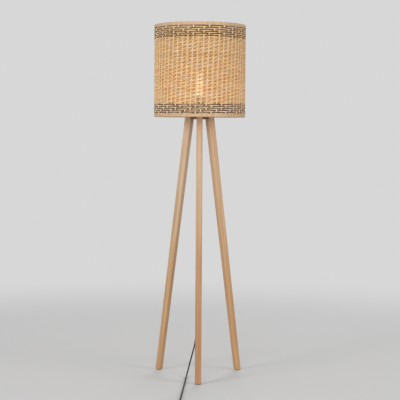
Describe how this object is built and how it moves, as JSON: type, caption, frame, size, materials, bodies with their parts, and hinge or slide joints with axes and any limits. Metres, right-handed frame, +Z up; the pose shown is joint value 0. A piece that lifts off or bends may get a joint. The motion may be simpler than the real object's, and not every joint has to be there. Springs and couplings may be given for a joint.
{
  "type": "rattan floor lamp",
  "caption": "Floor lamp with a woven rattan drum shade on a splayed wooden tripod, a screw bulb in a clamped lampholder, and a cord with a foot switch and a flat plug.",
  "frame": {"origin": "on the floor, under the axis of the shade and the tripod", "axes": "+Z up along the shade's axis; -Y towards the viewer, the way the front leg points; +X to the viewer's right"},
  "size_m": [0.4, 0.9792, 1.536],
  "materials": {
    "wood": "satin clear-coated beech",
    "rattan": "natural round rattan, matte",
    "rattan_dark": "brown-stained rattan, matte",
    "black_plastic": "fine satin black",
    "black_flex": "matte black PVC",
    "steel": "zinc-plated",
    "brass": "plain",
    "frame_wire": "ivory powder coat",
    "holder_ceramic": "unglazed",
    "bulb_glass": "clear",
    "filament": "phosphor-coated sticks, lit warm white",
    "pad": "pressed felt"
  },
  "bodies": {
    "stand": {"hub": "wood", "leg_front": "wood", "leg_right": "wood", "leg_left": "wood", "leg_bolt_front": "steel", "leg_bolt_right": "steel", "leg_bolt_left": "steel", "leg_insert_front": "brass", "leg_insert_right": "brass", "leg_insert_left": "brass", "leg_dowel_front": "wood", "leg_dowel_right": "wood", "leg_dowel_left": "wood", "foot_pad_front": "pad", "foot_pad_right": "pad", "foot_pad_left": "pad", "threaded_rod": "steel", "rod_nut": "steel", "cord_grip": "black_plastic", "cord_grip_sleeve": "black_flex", "inner_flex": "black_flex", "holder_cap": "black_plastic", "holder_insert": "holder_ceramic", "holder_shell": "black_plastic", "holder_thread_sleeve": "brass", "holder_contact": "brass", "cord_to_switch": "black_flex", "cord_to_coil": "black_flex", "cord_coil": "black_flex", "cord_to_plug": "black_flex", "cord_tie": "black_flex", "switch_base": "black_plastic", "switch_cover": "black_plastic", "switch_spring": "steel", "switch_relief_in": "black_flex", "switch_relief_out": "black_flex", "plug_body": "black_plastic", "plug_relief": "black_flex", "plug_pin_left": "steel", "plug_pin_right": "steel"},
    "shade": {"shade_spider": "frame_wire", "shade_ring_bottom": "frame_wire", "shade_ring_top": "frame_wire", "shade_upright_front": "frame_wire", "shade_upright_right": "frame_wire", "shade_upright_left": "frame_wire", "shade_edging_bottom": "rattan", "shade_band_bottom": "rattan_dark", "shade_weave": "rattan", "shade_band_top": "rattan_dark", "shade_edging_top": "rattan"},
    "clamp_ring": {"shade_clamp_ring": "black_plastic"},
    "bulb_foot": {"bulb_contact": "brass", "bulb_insulator": "black_plastic"},
    "bulb": {"bulb_cap": "steel", "bulb_glass": "bulb_glass", "bulb_stem": "bulb_glass", "bulb_filaments": "filament"},
    "button": {"switch_button": "black_plastic"}
  },
  "joints": [
    {"name": "shade_turn", "type": "hinge", "parent": "stand", "child": "shade", "pos_m": [0, 0, 1.193], "axis": [0, 0, 1], "range_deg": [-180, 180]},
    {"name": "clamp_ring_turn", "type": "hinge", "parent": "stand", "child": "clamp_ring", "pos_m": [0, 0, 1.1986], "axis": [0, 0, 1], "range_deg": [0, 180]},
    {"name": "bulb_rise", "type": "slide", "parent": "stand", "child": "bulb_foot", "axis": [0, 0, 1], "range_m": [0, 0.0092]},
    {"name": "bulb_turn", "type": "hinge", "parent": "bulb_foot", "child": "bulb", "pos_m": [0, 0, 1.2162], "axis": [0, 0, 1], "range_deg": [0, 900]},
    {"name": "switch_press", "type": "slide", "parent": "stand", "child": "button", "axis": [0, 0, -1], "range_m": [0, 0.0022], "stiffness_N_per_m": 1500, "springref_m": -0.001, "deforming": ["switch_spring"]}
  ],
  "couplings": [
    {"joint": "bulb_rise", "follows": "bulb_turn", "m_per_rad": 0.00057757}
  ]
}
